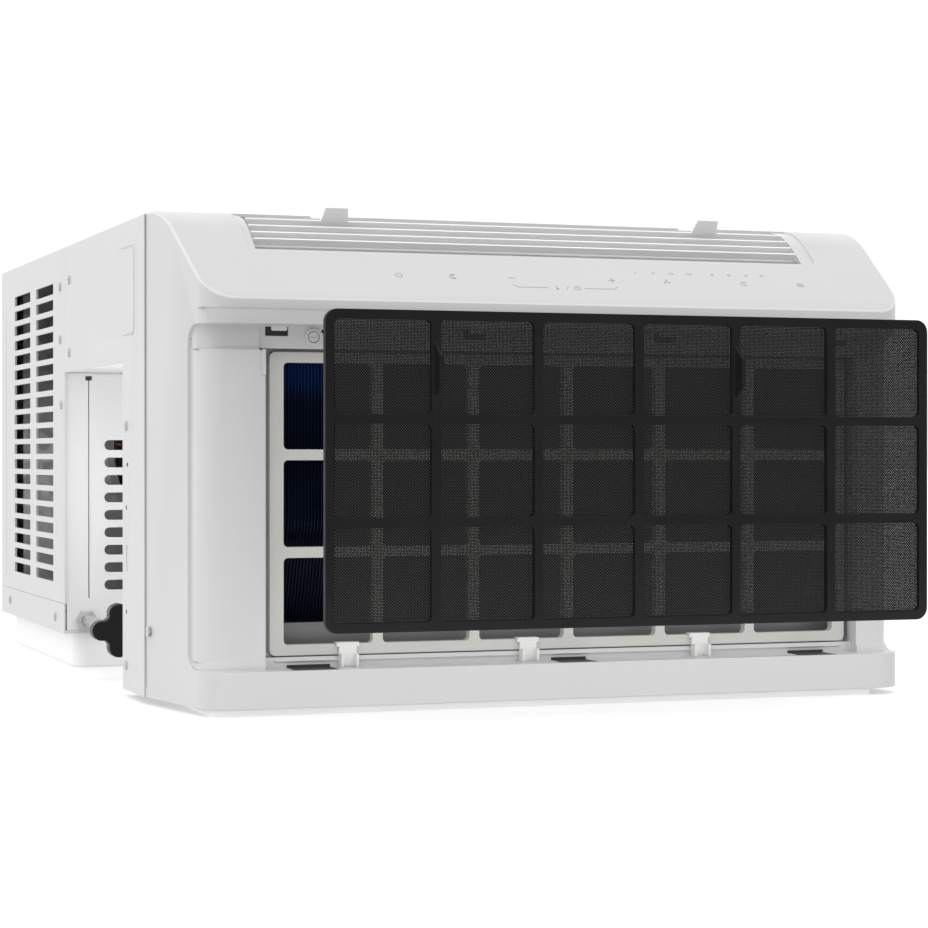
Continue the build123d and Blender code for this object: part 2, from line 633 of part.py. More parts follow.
def bridge_cover():
    """One folded sheet: bridge top, bridge sides and the indoor section's steel sides."""
    top = block(LEFT, RIGHT, SEAM_Y + 0.3, COVER_JOINT, TOP_Z - SHEET, TOP_Z)
    leg = [
        (SEAM_Y + 0.3, SHELL_Z),
        (INDOOR_BACK, SHELL_Z),
        (INDOOR_BACK, BRIDGE_Z),
        (COVER_JOINT, BRIDGE_Z),
        (COVER_JOINT, TOP_Z),
        (SEAM_Y + 0.3, TOP_Z),
    ]
    left = side_polygon(leg, LEFT, LEFT + SHEET)
    # a pressed field that starts at a crisp front edge and runs out to the rear
    ramp = [(LEFT - 1, 150), (LEFT + 0.9, 150), (LEFT + 0.9, 156), (LEFT, 230), (LEFT - 1, 230)]
    ramp = upright(make_face(Polyline(*ramp, close=True)), 280, 370)
    left -= side_rect(156, 415, 289, 361, LEFT - 1, LEFT + 1, 7) & ramp
    left -= side_rect(179.5, 186.5, 184.5, 187.5, LEFT - 1, LEFT + 3, 1.4)
    left -= side_rect(178.5, 187.5, 100, 122, LEFT - 1, LEFT + 0.7, 4.4)
    for z in (151.5, 67.9):
        left -= side_rect(184, 189, z - 2, z + 2, LEFT - 1, LEFT + 3, 1.5)
    for y, z in COVER_SCREWS:
        left -= rod_x(LEFT - 1, LEFT + 3, y, z, SCREW_HOLE_R)
    right = both_sides(left)[1] - rod_x(RIGHT - 3, RIGHT + 1, GLAND_Y, GLAND_Z, 11)
    cover = fused([top, left, right])
    return fillet(cover.edges().filter_by(Axis.Y).group_by(Axis.Z)[-1], 1.2)


GLAND_Y, GLAND_Z = 165.0, 60.0


def cord_gland():
    """Grommet in the right-hand side panel where a mains lead would come out."""
    gland = rod_x(RIGHT - 8, RIGHT + 0.8, GLAND_Y, GLAND_Z, 10.9)
    gland += rod_x(RIGHT - 8, RIGHT - SHEET - 0.1, GLAND_Y, GLAND_Z, 14)
    return gland - rod_x(RIGHT - 10, RIGHT + 2, GLAND_Y, GLAND_Z, 4.5)


def indoor_back():
    """Rear wall of the indoor section with its bottom flange."""
    x0, x1 = LEFT + SHEET + 0.2, RIGHT - SHEET - 0.2
    back = block(x0, x1, INDOOR_BACK - SHEET, INDOOR_BACK, SHELL_Z, BRIDGE_Z)
    return back + block(x0, x1, INDOOR_BACK - 5, INDOOR_BACK, SHELL_Z, SHELL_Z + SHEET)


def bridge_floor():
    """Closing plate under the bridge, with flanges inside its sides; it sits on the sill."""
    x0, x1 = LEFT + SHEET + 0.2, RIGHT - SHEET - 0.2
    y0, y1 = INDOOR_BACK + 0.2, COVER_JOINT
    floor = block(x0, x1, y0, y1, BRIDGE_Z, BRIDGE_Z + SHEET)
    for x in (x0, x1 - SHEET):
        floor += block(x, x + SHEET, y0, y1, BRIDGE_Z, BRIDGE_Z + 10)
    return floor


def outdoor_front_wall():
    """Wall that faces the sill, with cooling slots and the levelling bosses."""
    x0, x1 = LEFT + VENT_SHEET + 0.2, RIGHT - VENT_SHEET - 0.2
    wall = block(x0, x1, OUTDOOR_FRONT, OUTDOOR_FRONT + SHEET, SKIRT_LOW + 3.2, BRIDGE_Z)
    # the folded edge beside each side panel, with a notch at its top
    for edge in (x0 + 20, x1 - 20):
        wall -= block(edge - 0.4, edge + 0.4, OUTDOOR_FRONT - 1, OUTDOOR_FRONT + 3, 64, BRIDGE_Z - 6)
        wall -= block(edge - 3, edge + 3, OUTDOOR_FRONT - 1, OUTDOOR_FRONT + 3, BRIDGE_Z - 7, BRIDGE_Z - 3)
    slot_count, slot_pitch, slot_low = 9, 15.9, 75.7
    for row in range(slot_count):
        z = slot_low + row * slot_pitch
        for centre in (-233.0, 0.0, 233.0):
            face = Plane.XZ * SlotOverall(60, 8.9)
            wall -= Pos(centre, OUTDOOR_FRONT + 3, z) * extrude(face, 6)
    for x in BUMPERS.values():
        ring = rod_y(x, OUTDOOR_FRONT - 1.2, OUTDOOR_FRONT, BUMPER_Z, 8.5)
        wall += ring & block(x0, x1, 0, 900, SKIRT_LOW + 3.2, BRIDGE_Z)
        wall -= rod_y(x, OUTDOOR_FRONT - 3, OUTDOOR_FRONT + 4, BUMPER_Z, STUD_R + 0.5)
    return wall


def outdoor_cover():
    """Folded sheet over the outdoor section: top and both vented sides."""
    low = SKIRT_TOP
    top = block(LEFT, RIGHT, COVER_JOINT + 0.3, DEPTH, TOP_Z - SHEET, TOP_Z)
    left = block(LEFT, LEFT + VENT_SHEET, COVER_JOINT + 0.3, DEPTH, low, TOP_Z)
    holes = []
    for y0 in (511.0, 634.0):
        for row in range(VENT_ROWS):
            z = VENT_LOW_Z + row * VENT_PITCH
            holes.append(side_rect(y0, y0 + 90.5, z - 4.8, z + 4.8, LEFT - 1, LEFT + 3, 1.8))
    for y, z in PANEL_SCREWS:
        holes.append(rod_x(LEFT - 1, LEFT + 3, y, z, SCREW_HOLE_R))
    left -= holes
    cover = fused([top, *both_sides(left)])
    return fillet(cover.edges().filter_by(Axis.Y).group_by(Axis.Z)[-1], 1.2)


def rear_guard():
    """Rear panel in front of the condenser, pierced with long slots."""
    x0, x1 = LEFT + VENT_SHEET + 0.2, RIGHT - VENT_SHEET - 0.2
    panel = block(x0, x1, DEPTH - SHEET, DEPTH, SKIRT_TOP, TOP_Z - SHEET - 0.2)
    holes = []
    columns, rows = 6, 20
    for column in range(columns):
        for row in range(rows):
            x = -225 + column * 80
            z = 72 + row * 15.2
            face = Plane.XZ * SlotOverall(70, 8)
            holes.append(Pos(x, DEPTH + 2, z) * extrude(face, 6))
    return panel - holes


def outdoor_floor():
    """Steel floor plate with an upturned skirt that carries the outdoor parts."""
    outer = block(LEFT, RIGHT, OUTDOOR_FRONT, DEPTH, SKIRT_LOW, SKIRT_TOP - 0.2)
    room = block(
        LEFT + SHEET, RIGHT - SHEET, OUTDOOR_FRONT - 5, DEPTH - SHEET, FLOOR_TOP, SKIRT_TOP + 5
    )
    floor = outer - room
    for y, z in SKIRT_SCREWS:
        floor -= rod_x(LEFT - 1, LEFT + 3, y, z, SCREW_HOLE_R)
        floor -= rod_x(RIGHT - 3, RIGHT + 1, y, z, SCREW_HOLE_R)
    for fx, fy in foot_points():
        floor += rod_z(fx, fy, FLOOR_TOP - 1, 76, 3.0)
    return floor


def drip_tray():
    """Light moulded tray under the outdoor floor: the unit's outdoor end rests on it."""
    outline = RectangleRounded(584, 328, 14)
    tray = Pos(MIDDLE, (OUTDOOR_FRONT + DEPTH) / 2, 0) * extrude(outline, SKIRT_LOW - 0.1)
    room = RectangleRounded(584 - 2 * WALL, 328 - 2 * WALL, 11)
    tray -= Pos(MIDDLE, (OUTDOOR_FRONT + DEPTH) / 2, WALL) * extrude(room, SKIRT_LOW)
    return chamfer(tray.edges().group_by(Axis.Z)[0], 2)


def screw_x(x, y, z, outwards):
    """Pan head screw through a side panel."""
    head = rod_x(min(x, x + outwards * SCREW_HEAD), max(x, x + outwards * SCREW_HEAD), y, z, SCREW_HEAD_R)
    tip = x - outwards * SCREW_LENGTH
    shank = rod_x(min(x, tip), max(x, tip), y, z, SCREW_SHANK_R)
    cross = Pos(x + outwards * SCREW_HEAD, y, z) * (Box(1.6, 4.4, 0.9) + Box(1.6, 0.9, 4.4))
    return head + shank - cross


def cabinet_screws():
    screws = []
    for y, z in COVER_SCREWS + PANEL_SCREWS + SKIRT_SCREWS:
        screws.append(screw_x(LEFT, y, z, -1))
        screws.append(screw_x(RIGHT, y, z, 1))
    y, z = SHELL_SCREW
    screws.append(screw_x(SHELL_LEFT + (SEAM_Y - y) * TAPER - 0.9, y, z, -1))
    screws.append(screw_x(SHELL_RIGHT + 0.2, y, z, 1))
    x, z = SCREW_BOSS
    panel = rod_y(x, BAND_Y - 1.4, BAND_Y, z, SCREW_HEAD_R) + rod_y(x, BAND_Y, BAND_Y + 9, z, SCREW_SHANK_R)
    screws.append(panel - Pos(x, BAND_Y - 1.4, z) * Box(6, 1.4, 1.0))
    return screws


# ---- outdoor parts -------------------------------------------------------------------------


def condenser_rows():
    x0, x1, y0, y1, z0, z1 = CONDENSER
    return [[(y, z1 - 16 - step * 30.2) for step in range(11)] for y in (y0 + 8.5, y1 - 8.5)]


def condenser_fins():
    x0, x1 = CONDENSER[:2]
    holes = []
    for centres in condenser_rows():
        holes += [rod_x(x0 - 1, x1 + 1, y, z, TUBE_R + 0.02) for y, z in centres]
    return block(*CONDENSER) - holes


def condenser_tubes():
    x0, x1 = CONDENSER[:2]
    return [serpentine(row, x0 - 4, x1 + 4, TUBE_R, -1) for row in condenser_rows()]


def fan_shroud():
    """Plate with a round throat between the fan and the condenser."""
    y0, y1 = 732.0, 756.0
    plate = block(-290, 230, y0, y0 + 2.5, 37, 372)
    plate += rod_y(FAN_X, y0 - 26, y0 + 1, FAN_Z, FAN_R + 8.5)
    plate -= rod_y(FAN_X, y0 - 30, y0 + 5, FAN_Z, FAN_R + 6)
    plate += block(-290, 230, y0, y1, 369.5, 372)
    return plate + block(-290, -287.5, y0, y1, 37, 372)


def axial_fan():
    hub = rod_y(FAN_X, 694, 726, FAN_Z, 34)
    blades = []
    for step in range(FAN_BLADES):
        sector = Polyline((20, 8), (60, -30), (FAN_R + 10, -52), (FAN_R + 10, 44), (70, 34), (20, 22), close=True)
        plate = extrude(make_face(sector), 1.5, both=True)
        plate = fillet(plate.edges().filter_by(Axis.Z), 5)
        blade = Rot(26, 0, 0) * plate
        blades.append(Pos(FAN_X, 710, FAN_Z) * Rot(0, step * 360 / FAN_BLADES, 0) * Rot(90, 0, 0) * blade)
    wheel = fused([hub, *blades]) & rod_y(FAN_X, 680, 740, FAN_Z, FAN_R)
    wheel -= rod_y(FAN_X, 680, 716, FAN_Z, 5 + PIN_GAP)
    return wheel - (rod_y(FAN_X, 690, 700, FAN_Z, 28) - rod_y(FAN_X, 680, 701, FAN_Z, 12))


def fan_motor():
    motor = rod_y(FAN_X, 612, 676, FAN_Z, 44)
    motor = fillet(motor.edges(), 6)
    return motor - rod_y(FAN_X, 640, 680, FAN_Z, 5 + PIN_GAP)


def fan_shaft():
    return rod_y(FAN_X, 641, 715.5, FAN_Z, 5)


def motor_bracket():
    """Pressed bracket that carries the fan motor on the floor plate."""
    parts = []
    for x in (FAN_X - 60, FAN_X + 50):
        parts.append(block(x, x + 10, 640, 643, FLOOR_TOP + 0.1, 368))
    parts.append(block(FAN_X - 60, FAN_X + 60, 630, 652, FLOOR_TOP + 0.1, FLOOR_TOP + 2.6))
    parts.append(block(FAN_X - 60, FAN_X + 60, 640, 643, FAN_Z - 60, FAN_Z + 60))
    return fused(parts) - rod_y(FAN_X, 600, 700, FAN_Z, 44.2)


def foot_points():
    x, y = COMPRESSOR
    return [(x + 76 * cos(radians(a)), y + 76 * sin(radians(a))) for a in (90, 210, 330)]


def compressor():
    """Upright rotary compressor on three feet."""
    x, y = COMPRESSOR
    body = rod_z(x, y, 60, 276, COMPRESSOR_R)
    body = fillet(body.edges(), 22)
    feet = []
    for fx, fy in foot_points():
        angle = degrees(atan2(fy - y, fx - x))
        arm = Pos(x, y, 61.5) * Rot(0, 0, angle) * Pos(44, 0, 0) * Box(88, 30, 3)
        feet.append(arm)
    body = fused([body, *feet])
    for fx, fy in foot_points():
        body -= rod_z(fx, fy, 50, 70, 6.5)
    body += rod_z(x - 24, y, 270, 292, 5)
    body += rod_z(x + 26, y + 8, 270, 285, 15)
    return body


def compressor_grommets():
    """Rubber feet with a waist that holds the compressor's feet."""
    rubber = []
    for fx, fy in foot_points():
        foot = rod_z(fx, fy, FLOOR_TOP, 59.9, 11) + rod_z(fx, fy, 50, 66, 6.4) + rod_z(fx, fy, 63.2, 68, 10)
        rubber.append(foot - rod_z(fx, fy, 20, 80, 3.2))
    return rubber


def accumulator():
    x, y = ACCUMULATOR
    body = rod_z(x, y, 96, 250, ACCUMULATOR_R)
    body = fillet(body.edges(), 14)
    body += rod_z(x, y, 240, 262, 8)
    cx, cy = COMPRESSOR
    outlet = [(x, y, 100), (x, y, 78), (cx - 40, cy - 12, 78)]
    return body + pipe(outlet, 10, 5) - rod_z(cx, cy, 50, 290, COMPRESSOR_R + 0.1)


def suction_line():
    """Insulated line from the evaporator, through the bridge, to the accumulator."""
    x, y = ACCUMULATOR
    tube_y, tube_z = evaporator_rows()[1][0]
    points = [
        (EVAP_X0 - 6.1, tube_y, tube_z),
        (-268, tube_y, tube_z),
        (-268, 190, 298),
        (-268, 482, 298),
        (x, 482, 294),
        (x, y, 294),
        (x, y, 262.1),
    ]
    return pipe(points, 22, 8)


def liquid_line():
    """Thin line from the condenser, through the bridge, to the evaporator."""
    tube_y, tube_z = evaporator_rows()[1][-1]
    points = [
        (EVAP_X0 - 6.1, tube_y, tube_z),
        (-246, tube_y, tube_z),
        (-246, 184, tube_z),
        (-246, 184, 326),
        (-246, 508, 326),
        (-246, 508, 352),
        (-246, 700, 352),
    ]
    return pipe(points, 12, 3.2)


def discharge_line():
    """From the compressor's top to the condenser."""
    x, y = COMPRESSOR
    tube_y, tube_z = condenser_rows()[0][0]
    points = [
        (x - 24, y, 292.1),
        (x - 24, y, 309),
        (272, y, 309),
        (272, tube_y, 309),
        (272, tube_y, tube_z),
        (CONDENSER[1] + 4.1, tube_y, tube_z),
    ]
    return pipe(points, 8, 4)


def bridge_harness():
    """Bundle of wires clipped along the bridge, control board to inverter box."""
    points = [
        (200, 150, 330),
        (200, 190, 330),
        (200, 190, 350),
        (200, 470, 350),
        (110, 470, 350),
        (110, 499.8, 350),
    ]
    return pipe(points, 9, 4.5)


BOX = (80.0, 288.0, 500.0, 700.0, 318.0, 374.0)


def inverter_box():
    x0, x1, y0, y1, z0, z1 = BOX
    case = block(*BOX)
    return case - block(x0 + 2, x1 - 2, y0 + 2, y1 - 2, z0 + 2, z1 + 5)


def inverter_board():
    """Power board with its capacitors, coil and heat sink, standing in the open box."""
    x0, x1, y0, y1, z0, z1 = BOX
    parts = [block(x0 + 8, x1 - 8, y0 + 8, y1 - 8, z0 + 8, z0 + 9.6)]
    for step in range(3):
        parts.append(rod_z(x0 + 40 + step * 38, y0 + 45, z0 + 9, z0 + 44, 15))
    parts.append(block(x0 + 30, x0 + 110, y0 + 90, y0 + 150, z0 + 9, z0 + 20))
    for step in range(9):
        fin_x = x0 + 32 + step * 9
        parts.append(block(fin_x, fin_x + 2, y0 + 90, y0 + 150, z0 + 19, z0 + 42))
    parts.append(rod_z(x0 + 160, y0 + 130, z0 + 9, z0 + 34, 24))
    parts += [rod_z(px, py, z0 + 2, z0 + 9, 3) for px in (x0 + 20, x1 - 20) for py in (y0 + 20, y1 - 20)]
    return fused(parts)


def bumper_stud(x):
    """Threaded stud of a levelling bumper, held in the wall nut."""
    rod = rod_y(x, KNOB_BACK_Y - KNOB_THICK + 3, OUTDOOR_FRONT + 42, BUMPER_Z, STUD_R - PIN_GAP)
    return chamfer(rod.edges(), 0.8)


def bumper_knob(x):
    """Four-lobed knob and foot on the end of the stud."""
    face = Circle(14)
    for step in range(4):
        a = radians(90 * step)
        face += Pos(14.5 * cos(a), 14.5 * sin(a)) * Circle(8.5)
    knob = Pos(x, KNOB_BACK_Y, BUMPER_Z) * extrude(Plane.XZ * face, KNOB_THICK)
    knob += rod_y(x, KNOB_BACK_Y, KNOB_BACK_Y + 6, BUMPER_Z, 9)
    hole = rod_y(x, KNOB_BACK_Y - KNOB_THICK + 2.8, KNOB_BACK_Y + 10, BUMPER_Z, STUD_R)
    return knob - hole


def hex_nuts():
    """Nuts on the front wall that the bumper studs run through, and on the compressor studs."""
    nuts = []
    for fx, fy in foot_points():
        nut = Pos(fx, fy, 68.1) * extrude(RegularPolygon(6.5, 6), 5)
        nuts.append(nut - rod_z(fx, fy, 60, 80, 3.0))
    for x in BUMPERS.values():
        nut = Pos(x, OUTDOOR_FRONT - 1.3, BUMPER_Z) * extrude(Plane.XZ * RegularPolygon(9.8, 6), 7)
        nuts.append(nut - rod_y(x, OUTDOOR_FRONT - 20, OUTDOOR_FRONT, BUMPER_Z, STUD_R))
    return nuts


def build():
    os.makedirs("parts", exist_ok=True)
    single = {
        "front_shell": front_shell,
        "base_tray": base_tray,
        "intake_guard": intake_guard,
        "filter_frame": filter_frame,
        "filter_mesh": filter_mesh,
        "evaporator_fins": evaporator_fins,
        "drain_pan": drain_pan,
        "touch_board": touch_board,
        "bridge_cover": bridge_cover,
        "cord_gland": cord_gland,
        "indoor_back": indoor_back,
        "bridge_floor": bridge_floor,
        "outdoor_front_wall": outdoor_front_wall,
        "outdoor_cover": outdoor_cover,
        "rear_guard": rear_guard,
        "outdoor_floor": outdoor_floor,
        "drip_tray": drip_tray,
        "condenser_fins": condenser_fins,
        "fan_shroud": fan_shroud,
        "axial_fan": axial_fan,
        "fan_motor": fan_motor,
        "fan_shaft": fan_shaft,
        "motor_bracket": motor_bracket,
        "compressor": compressor,
        "accumulator": accumulator,
        "suction_line": suction_line,
        "liquid_line": liquid_line,
        "discharge_line": discharge_line,
        "bridge_harness": bridge_harness,
        "inverter_box": inverter_box,
        "inverter_board": inverter_board,
    }
    air_path = {
        "blower_scroll": blower_scroll,
        "outlet_duct": outlet_duct,
        "louver_link": louver_link,
        "crossflow_wheel": crossflow_wheel,
        "blower_bearing": blower_bearing,
        "blower_motor": blower_motor,
    }
    groups = {
        "filter_clips": filter_clips,
        "evaporator_tubes": evaporator_tubes,
        "cabinet_screws": cabinet_screws,
        "condenser_tubes": condenser_tubes,
        "compressor_grommets": compressor_grommets,
        "hex_nuts": hex_nuts,
    }
    in_air_path = Pos(AIR_X, 0, 0)
    for name, make in single.items():
        save(name, make())
    for name, make in air_path.items():
        save(name, in_air_path * make())
    save("crossflow_shafts", in_air_path * Compound([s for part in crossflow_shafts() for s in part.solids()]))
    for name, make in groups.items():
        solids = [solid for piece in make() for solid in piece.solids()]
        save(name, Compound(solids))
    for index in range(SLATS):
        save(f"louver_slat_{index + 1}", in_air_path * slat(index))
    for side, centre in VANE_GROUPS.items():
        for step in range(VANES):
            x = centre + (step - (VANES - 1) / 2) * VANE_PITCH
            save(f"{side}_vane_{step + 1}", in_air_path * vane(x))
        save(f"{side}_vane_link", in_air_path * vane_link(centre))
    for side, x in BUMPERS.items():
        save(f"{side}_bumper_stud", bumper_stud(x))
        save(f"{side}_bumper_knob", bumper_knob(x))


build()
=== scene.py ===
"""Saddle window air conditioner with its front panel off and its filter pulled forward."""

import json
from math import cos, hypot, pi, radians, sin, tan

import bmesh
import bpy
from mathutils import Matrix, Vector


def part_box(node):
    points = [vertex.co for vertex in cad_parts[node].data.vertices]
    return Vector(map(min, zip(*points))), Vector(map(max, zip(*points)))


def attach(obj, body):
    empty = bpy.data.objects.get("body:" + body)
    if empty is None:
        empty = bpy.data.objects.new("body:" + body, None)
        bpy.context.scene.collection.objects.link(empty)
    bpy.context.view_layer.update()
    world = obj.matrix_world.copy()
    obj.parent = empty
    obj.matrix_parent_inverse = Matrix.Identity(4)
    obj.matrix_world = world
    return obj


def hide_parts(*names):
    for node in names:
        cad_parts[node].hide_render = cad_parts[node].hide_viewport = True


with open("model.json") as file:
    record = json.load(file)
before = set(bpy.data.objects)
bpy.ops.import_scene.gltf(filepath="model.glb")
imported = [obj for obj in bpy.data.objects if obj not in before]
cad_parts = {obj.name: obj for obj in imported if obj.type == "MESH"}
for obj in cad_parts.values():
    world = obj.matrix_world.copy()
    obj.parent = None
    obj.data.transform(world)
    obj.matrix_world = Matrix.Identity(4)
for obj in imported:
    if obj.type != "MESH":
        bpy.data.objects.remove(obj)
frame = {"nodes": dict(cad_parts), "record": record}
NODES = frame["nodes"]
BODY_OF = {n: b for b, members in frame["record"]["behaviour"]["bodies"].items() for n in members}
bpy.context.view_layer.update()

MM = 0.001  # lengths below are in millimetres, Blender's in metres
scene = bpy.context.scene


def link(obj):
    scene.collection.objects.link(obj)
    return obj


# ---- camera and light -----------------------------------------------------------------------

camera_data = bpy.data.cameras.new("camera")
camera_data.lens = 97.2
camera_data.sensor_width = 36.0
camera_data.clip_end = 50
camera = link(bpy.data.objects.new("camera", camera_data))
camera.location = (-0.7227, -2.1414, 0.1940)
camera.rotation_euler = (radians(89.79), 0, radians(-19.6))
scene.camera = camera
scene.view_settings.view_transform = "Standard"


# strength of the studio along each axis: direction from, to, and the strength at each
STUDIO_RAMPS = {
    "X": (-1, 1, 1.34, 0.98),
    "Y": (-1, 0, 0.46, 1.0),
    "Z": (-1, 1, 0.72, 1.26),
}


def fill_inputs(node, **values):
    for key, value in values.items():
        node.inputs[key.replace("_", " ")].default_value = value


def studio_world():
    """White studio: brighter on the left and above, dim behind the camera."""
    world = bpy.data.worlds.new("studio")
    scene.world = world
    world.use_nodes = True
    tree = world.node_tree
    background = tree.nodes["Background"]
    background.inputs["Color"].default_value = (1, 1, 1, 1)
    split = tree.nodes.new("ShaderNodeSeparateXYZ")
    tree.links.new(tree.nodes.new("ShaderNodeTexCoord").outputs["Generated"], split.inputs["Vector"])
    strength = None
    for axis, (at_low, at_high, low, high) in STUDIO_RAMPS.items():
        spread = tree.nodes.new("ShaderNodeMapRange")
        fill_inputs(spread, From_Min=at_low, From_Max=at_high, To_Min=low, To_Max=high)
        tree.links.new(split.outputs[axis], spread.inputs["Value"])
        if strength is None:
            strength = spread.outputs["Result"]
            continue
        product = tree.nodes.new("ShaderNodeMath")
        product.operation = "MULTIPLY"
        tree.links.new(strength, product.inputs[0])
        tree.links.new(spread.outputs["Result"], product.inputs[1])
        strength = product.outputs["Value"]
    tree.links.new(strength, background.inputs["Strength"])


studio_world()


def area_light(name, location, target, size, energy, depth=None):
    """A round softbox, or a strip where a depth is given."""
    data = bpy.data.lights.new(name, "AREA")
    data.shape = "RECTANGLE" if depth else "DISK"
    data.size = size
    if depth:
        data.size_y = depth
    data.energy = energy
    light = link(bpy.data.objects.new(name, data))
    light.location = location
    direction = Vector(target) - Vector(location)
    light.rotation_euler = direction.to_track_quat("-Z", "Y").to_euler()
    light.visible_camera = False


# a large soft light, a strip that lines the long edges, light off the table and light in the sill gap
area_light("key", (-1.3, -2.0, 2.5), (0, -0.2, 0.3), 1.8, 4)
area_light("edge_strip", (0.73, -1.62, 1.63), (0, -0.3, 0.31), 1.2, 4.5, 0.12)
area_light("table_glow", (-0.05, -0.56, 0.012), (-0.05, -0.34, 0.04), 1.1, 0.42, 0.08)
area_light("gap_fill", (-0.25, -0.13, 0.17), (-0.26, 0.11, 0.19), 0.14, 0.19)


# ---- materials ------------------------------------------------------------------------------


class Nodes:
    """Short way to build a material's node tree."""

    def __init__(self, name):
        self.material = bpy.data.materials.new(name)
        self.material.use_nodes = True
        self.tree = self.material.node_tree
        self.shader = self.tree.nodes["Principled BSDF"]
        self.coords = self.tree.nodes.new("ShaderNodeTexCoord").outputs["Object"]

    def add(self, kind, **settings):
        node = self.tree.nodes.new(kind)
        for key, value in settings.items():
            setattr(node, key, value)
        return node

    def join(self, source, target):
        self.tree.links.new(source, target)

    def noise(self, scale, detail=2.0):
        node = self.add("ShaderNodeTexNoise")
        fill_inputs(node, Scale=scale, Detail=detail)
        self.join(self.coords, node.inputs["Vector"])
        return node.outputs["Fac"]

    def ramp(self, source, stops):
        node = self.add("ShaderNodeValToRGB")
        elements = node.color_ramp.elements
        while len(elements) < len(stops):
            elements.new(0.5)
        for element, (position, colour) in zip(elements, stops):
            element.position = position
            element.color = (*colour, 1)
        self.join(source, node.inputs["Fac"])
        return node.outputs["Color"]

    def spread(self, source, low, high, low_in=0.3, high_in=0.7):
        node = self.add("ShaderNodeMapRange")
        fill_inputs(node, From_Min=low_in, From_Max=high_in, To_Min=low, To_Max=high)
        self.join(source, node.inputs["Value"])
        return node.outputs["Result"]

    def bump(self, height, strength, distance):
        node = self.add("ShaderNodeBump")
        fill_inputs(node, Strength=strength, Distance=distance)
        self.join(height, node.inputs["Height"])
        return node.outputs["Normal"]

    def finish(self, colour, roughness, relief, **constants):
        """Joins what every look here varies, and sets the shader's constants."""
        self.join(colour, self.shader.inputs["Base Color"])
        self.join(roughness, self.shader.inputs["Roughness"])
        self.join(relief, self.shader.inputs["Normal"])
        fill_inputs(self.shader, **constants)
        return self.material


GRAIN_STRENGTH = 0.35


def shade(colour, amount):
    return tuple(min(1.0, max(0.0, c * (1 + amount))) for c in colour)


def surface(name, colour, rough=0.4, metal=0.0, tone=0.03, tone_scale=14, grain=900, grain_depth=0.02,
            rough_spread=0.06, spec=0.5):
    """General finish: cloudy tone, grain in the relief and an uneven polish."""
    n = Nodes(name)
    tones = n.ramp(n.noise(tone_scale, 3.0), [(0.3, shade(colour, -tone)), (0.7, shade(colour, tone))])
    polish = n.spread(n.noise(tone_scale * 4, 4.0), rough - rough_spread, rough + rough_spread)
    relief = n.bump(n.noise(grain), GRAIN_STRENGTH, grain_depth * MM)
    return n.finish(tones, polish, relief, Metallic=metal, Specular_IOR_Level=spec)


PAINT = surface("cabinet_paint", (0.62, 0.62, 0.625), 0.42, tone=0.010, grain=700, grain_depth=0.03,
                rough_spread=0.02)
# a lighter copy of the cabinet paint: painted light on the walls that stand in shade, in the gap and inside
WALL_PAINT_PAINTED_LIGHT = surface("wall_paint_painted_light", (0.78, 0.78, 0.785), 0.45, tone=0.012, grain=700, grain_depth=0.05)
SHELL = surface("shell_plastic", (0.615, 0.615, 0.62), 0.34, tone=0.006, grain=2400, grain_depth=0.008,
                rough_spread=0.012)
# a lighter copy of the shell plastic: a painted highlight along the deck's rounded edge
SHELL_PAINTED_HIGHLIGHT = surface("shell_plastic_painted_highlight", (0.74, 0.74, 0.745), 0.26, tone=0.006, grain=2400,
                     grain_depth=0.008, rough_spread=0.012)
TRAY = surface("tray_plastic", (0.93, 0.93, 0.925), 0.45, tone=0.01, grain=1800, grain_depth=0.02)
GUARD = surface("guard_plastic", (0.56, 0.555, 0.525), 0.45, tone=0.02, grain=1800, grain_depth=0.03)
CLIP = surface("clip_plastic", (0.76, 0.76, 0.75), 0.38, tone=0.01, grain=2400, grain_depth=0.02)
LOUVER = surface("louver_plastic", (0.90, 0.90, 0.905), 0.36, tone=0.01, grain=2400, grain_depth=0.02)
SCREW = surface("screw_paint", (0.60, 0.60, 0.605), 0.34, tone=0.03, grain=1200, grain_depth=0.03)
PAN = surface("pan_plastic", (0.20, 0.20, 0.205), 0.5, tone=0.05, grain=1200, grain_depth=0.04)
BLACK = surface("filter_plastic", (0.0085, 0.0085, 0.009), 0.42, tone=0.2, grain=1500, grain_depth=0.04,
                spec=0.14)
INNER = surface("inner_plastic", (0.035, 0.035, 0.037), 0.5, tone=0.15, grain=1200, grain_depth=0.04)
BARE_FINS = surface("condenser_fins", (0.42, 0.43, 0.44), 0.36, metal=0.9, tone=0.10, tone_scale=40,
                    grain=1600, grain_depth=0.02)
COPPER = surface("copper_tube", (0.72, 0.33, 0.18), 0.30, metal=1.0, tone=0.18, tone_scale=60, grain=900,
                 grain_depth=0.03)
FOAM = surface("line_foam", (0.022, 0.022, 0.024), 0.85, tone=0.2, tone_scale=120, grain=2600,
               grain_depth=0.25)
ZINC = surface("zinc_steel", (0.52, 0.52, 0.53), 0.30, metal=1.0, tone=0.10, tone_scale=90, grain=1500,
               grain_depth=0.02)
MOTOR = surface("motor_steel", (0.35, 0.36, 0.37), 0.42, metal=1.0, tone=0.12, tone_scale=50, grain=1200,
                grain_depth=0.03)
TANK = surface("compressor_paint", (0.016, 0.016, 0.018), 0.34, tone=0.2, tone_scale=30, grain=700,
               grain_depth=0.08)
RUBBER = surface("rubber", (0.018, 0.018, 0.018), 0.62, tone=0.2, grain=1500, grain_depth=0.06)
KNOB = surface("knob_plastic", (0.006, 0.006, 0.006), 0.35, tone=0.2, grain=1200, grain_depth=0.05, spec=0.2)
BOARD = surface("board_green", (0.010, 0.085, 0.035), 0.4, tone=0.2, tone_scale=120, grain=1500,
                grain_depth=0.04)
WIRES = surface("wire_grey", (0.06, 0.06, 0.065), 0.5, tone=0.2, tone_scale=90, grain=900, grain_depth=0.15)
